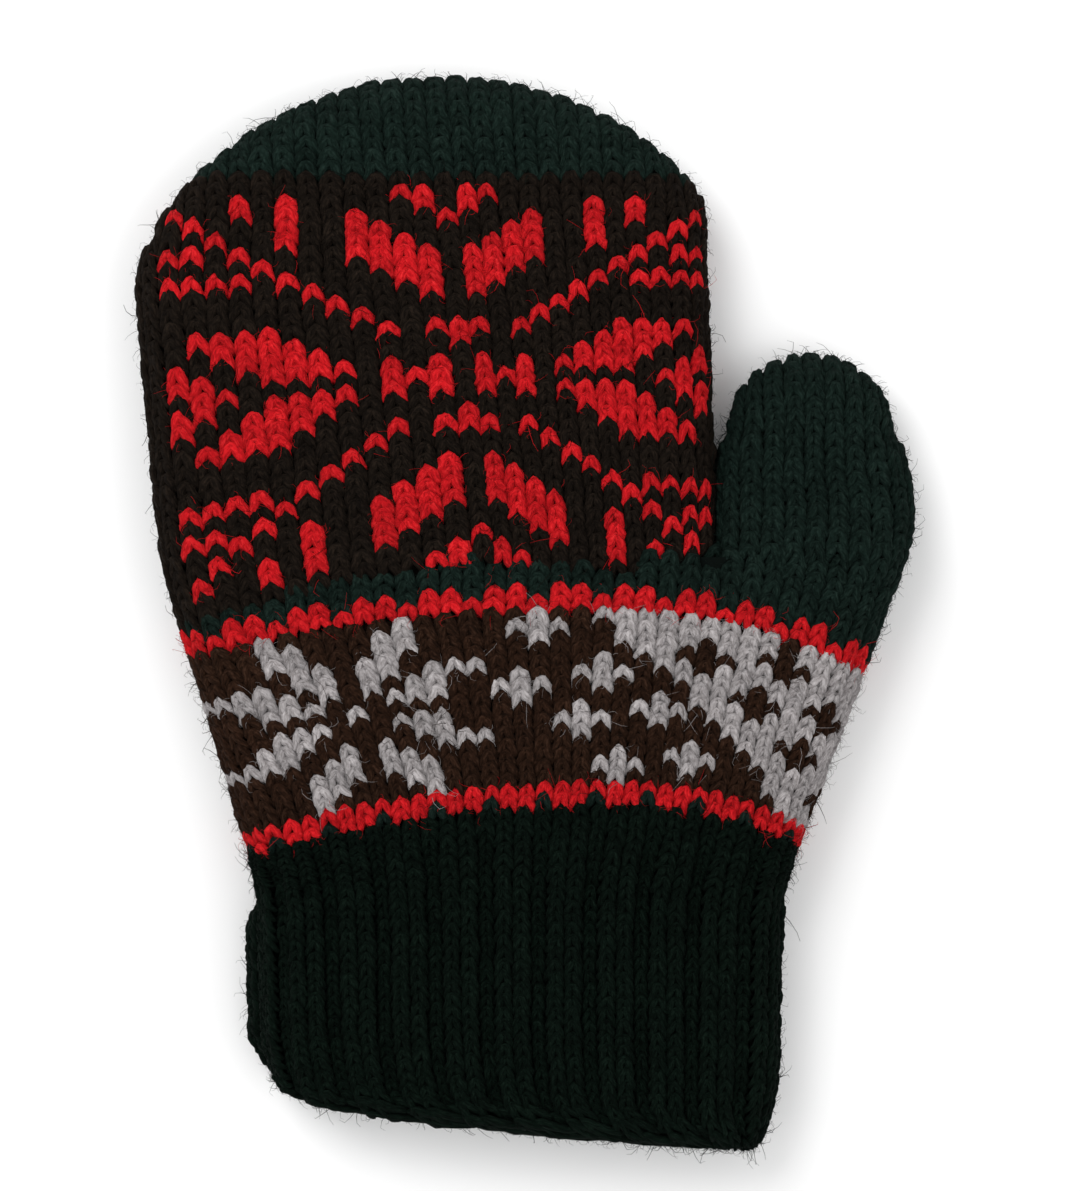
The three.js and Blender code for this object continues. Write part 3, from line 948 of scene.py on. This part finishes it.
shown = (hand["depth"] > TIP_CLEARANCE) & clear_of_palm(hand["centre"])
panel = r >= -STAR_REACH - 1
ground = knitted(
    "star_panel_ground", pick(hand, shown & ~red & panel), GROUND_YARN, 21, fibres=6
)
star = knitted("star_stitches", pick(hand, shown & red), RED_YARN, 22, fibres=8)
cap = knitted(
    "fingertip_stitches", pick(hand, shown & ~panel), BLACK_YARN, 23, fibres=10
)
hand_floats = floats(
    "star_panel_floats",
    hand_place,
    HAND_WALES,
    np.arange(HAND_ROWS.start - 1, HAND_ROWS.stop + 0.1),
    GROUND_YARN,
    opened=clear_of_palm,
)

# the thumb
c, r = chart(THUMB_ROWS, THUMB_WALES)
thumb_all = lay(thumb_place, c, r + 0.5, up=1)
thumb = knitted(
    "thumb_stitches",
    pick(thumb_all, thumb_all["depth"] > TIP_CLEARANCE),
    BLACK_YARN,
    24,
    fibres=12,
)
thumb_floats = floats(
    "thumb_inside",
    thumb_place,
    THUMB_WALES,
    np.arange(0, THUMB_ROWS.stop + 0.1),
    BLACK_YARN,
    up=1,
)

# the border and the plain rows over it
border_place = palm_place(BORDER_WALES, CROWDING)
c, r = chart(BORDER_ROWS, BORDER_WALES)
border = lay(border_place, c, r)
column = np.linspace(0.5, HAND_WALES - 0.5, 60)
lowest = hand_place(column, np.full(60, HAND_ROWS.stop - 0.4))[0]  # the star panel's lower edge


def below_hand(places):
    """Whether fabric of the palm is below the star panel and the crotch."""
    x, y = places[:, 0], places[:, 1]
    return y < np.where(x > PANEL_CORNER, CROTCH, np.interp(x, lowest[:, 0], lowest[:, 1]))


red = (r == 0) | ((r == -1) & (c % 3 != 2))
plain = ~red & below_hand(border["centre"] - [0, PLAIN_OVERLAP, 0])
border_plain = knitted(
    "border_plain_stitches", pick(border, plain), BLACK_YARN, 25, fibres=9
)
border_red = knitted("border_stitches", pick(border, red), RED_YARN, 26, fibres=9)
border_floats = floats(
    "border_inside",
    border_place,
    BORDER_WALES,
    np.arange(BORDER_ROWS.start, BORDER_ROWS.stop - 0.4),
    BLACK_YARN,
    opened=below_hand,
)

# the snow band and the stripe
band_place = palm_place(BAND_WALES, CROWDING, TWIST)
c, r = chart(BAND_ROWS, BAND_WALES)
band = lay(band_place, c, r)
grey = np.array([in_snow(*cell) for cell in zip(c, r)])
snow_ground = knitted(
    "snow_band_ground", pick(band, ~grey), BROWN_YARN, 27, fibres=9
)
snow = knitted("snow_stitches", pick(band, grey), GREY_YARN, 31, fibres=9)
band_floats = floats(
    "snow_band_floats",
    band_place,
    BAND_WALES,
    np.arange(BAND_ROWS.start - 0.5, BAND_ROWS.stop - 0.4),
    BROWN_YARN,
)
c, r = chart(STRIPE_ROWS, BAND_WALES)
stripe_all = lay(band_place, c, r)
red = (r == STRIPE_ROWS[0]) | (c % 3 != 1)
stripe = knitted("stripe_stitches", pick(stripe_all, red), RED_YARN, 28, fibres=9)
stripe_gaps = knitted(
    "stripe_gap_stitches", pick(stripe_all, ~red), BLACK_YARN, 32, fibres=9
)
stripe_floats = floats(
    "stripe_inside",
    band_place,
    BAND_WALES,
    np.arange(STRIPE_ROWS.start - 0.5, STRIPE_ROWS.stop - 0.4),
    BLACK_YARN,
)


def rib_height(c, r):
    """Two wales stand up and one sinks back, except at the wrist's start and in the hem."""
    fade = smooth((r - WRIST_ROWS.start) / 5) * smooth((HEM_ROW - r) / 2)
    return np.where(c % 3 == 2, RIB_DOWN, RIB_UP) * fade


# the wrist rib and the cuff
# The rib, cuff and hem use the black yarn darkened as painted shade for the furrows.
rib_place = palm_place(PALM_WALES)
c, r = chart(WRIST_ROWS, PALM_WALES)
wrist = lay(rib_place, c, r, raise_by=rib_height(c, r))
wrist_rib = knitted("wrist_rib_stitches", wrist, RIB_YARN_PAINTED_SHADE, 29, fibres=9)
c, r = chart(CUFF_ROWS, PALM_WALES)
cuff = lay(hem_place, c, r, raise_by=rib_height(c, r))
cuff_rib = knitted("cuff_rib_stitches", cuff, RIB_YARN_PAINTED_SHADE, 30)
c, r = chart(HEM_ROWS, PALM_WALES)
hem = knitted("hem_stitches", lay(hem_place, c, r), RIB_YARN_PAINTED_SHADE, 33, fibres=12)
cuff_floats = floats(
    "cuff_inside",
    rib_place,
    PALM_WALES,
    np.arange(WRIST_ROWS.start - 0.5, CUFF_ROWS.stop + 0.1),
    RIB_YARN_PAINTED_SHADE,
    inset=RIB_FLOAT_INSET,
)

# the shapes that were copied are not pieces themselves
for shapes in (KNIT_LOOPS, LOOSE_FIBRES):
    for shape in list(shapes.objects):
        bpy.data.objects.remove(shape)
    bpy.data.collections.remove(shapes)

# ---- what each piece rides on ----
for piece in (*ground, *star, *cap, hand_floats):
    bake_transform(piece)
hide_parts("star_panel_upper", "star_panel_lower")
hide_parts("fingertip_cap")
for piece in (*thumb, thumb_floats):
    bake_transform(piece)
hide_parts("thumb_tube", "thumb_tip")
for piece in (
    *border_plain,
    *border_red,
    border_floats,
    *snow_ground,
    *snow,
    band_floats,
    *stripe,
    *stripe_gaps,
    stripe_floats,
):
    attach(piece, "palm")
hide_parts("black_band")
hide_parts("red_border")
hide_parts("snow_band")
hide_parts("red_stripe")
for piece in (*wrist_rib, *cuff_rib, *hem, cuff_floats):
    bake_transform(piece)
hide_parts("wrist_rib")
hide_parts("rib_cuff")
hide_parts("cuff_hem")

for name, node in frame["nodes"].items():
    finish = ELASTIC if "elastic" in name else BLACK_YARN if "thread" in name else LINING
    node.data.materials.clear()
    node.data.materials.append(finish)

# ---- floor, light and camera ----
floor = bpy.data.objects.new("floor", bpy.data.meshes.new("floor"))
floor.data.from_pydata([(-2, -2, 0), (2, -2, 0), (2, 2, 0), (-2, 2, 0)], [], [(0, 1, 2, 3)])
scene.collection.objects.link(floor)
paper = bpy.data.materials.new("plain_floor")
paper.use_nodes = True
paper.node_tree.nodes["Principled BSDF"].inputs["Base Color"].default_value = linear("#f2f2f2")
paper.node_tree.nodes["Principled BSDF"].inputs["Roughness"].default_value = 0.9
floor.data.materials.append(paper)

scene.view_settings.view_transform = "Standard"
scene.world = bpy.data.worlds.new("studio")
scene.world.use_nodes = True
scene.world.node_tree.nodes["Background"].inputs["Color"].default_value = linear("#ffffff")
scene.world.node_tree.nodes["Background"].inputs["Strength"].default_value = 0.8


def lamp(name, place, size, power):
    """A soft square lamp that looks at the mitten."""
    light = bpy.data.lights.new(name, "AREA")
    light.size, light.energy = size, power
    made = bpy.data.objects.new(name, light)
    made.location = place
    made.rotation_euler = (-made.location).to_track_quat("-Z", "Y").to_euler()
    scene.collection.objects.link(made)


# A large soft light from the upper left, and a weaker one from the right that fills its shadows.
lamp("window", (-0.55, 0.65, 0.9), 0.7, 9)
lamp("fill", (0.8, -0.3, 1.0), 0.9, 4)

lens = bpy.data.cameras.new("camera")
lens.lens = 95
lens.sensor_width = 36
eye = bpy.data.objects.new("camera", lens)
VIEW_HEIGHT = 0.2090  # what the camera sees from top to bottom, in the mitten's middle plane
VIEW_CENTRE = (0.00267, 0.00337)
MIDDLE_PLANE = LAID_THICKNESS / 2 * MM
eye.location = (*VIEW_CENTRE, VIEW_HEIGHT * lens.lens / lens.sensor_width + MIDDLE_PLANE)
scene.collection.objects.link(eye)
scene.camera = eye
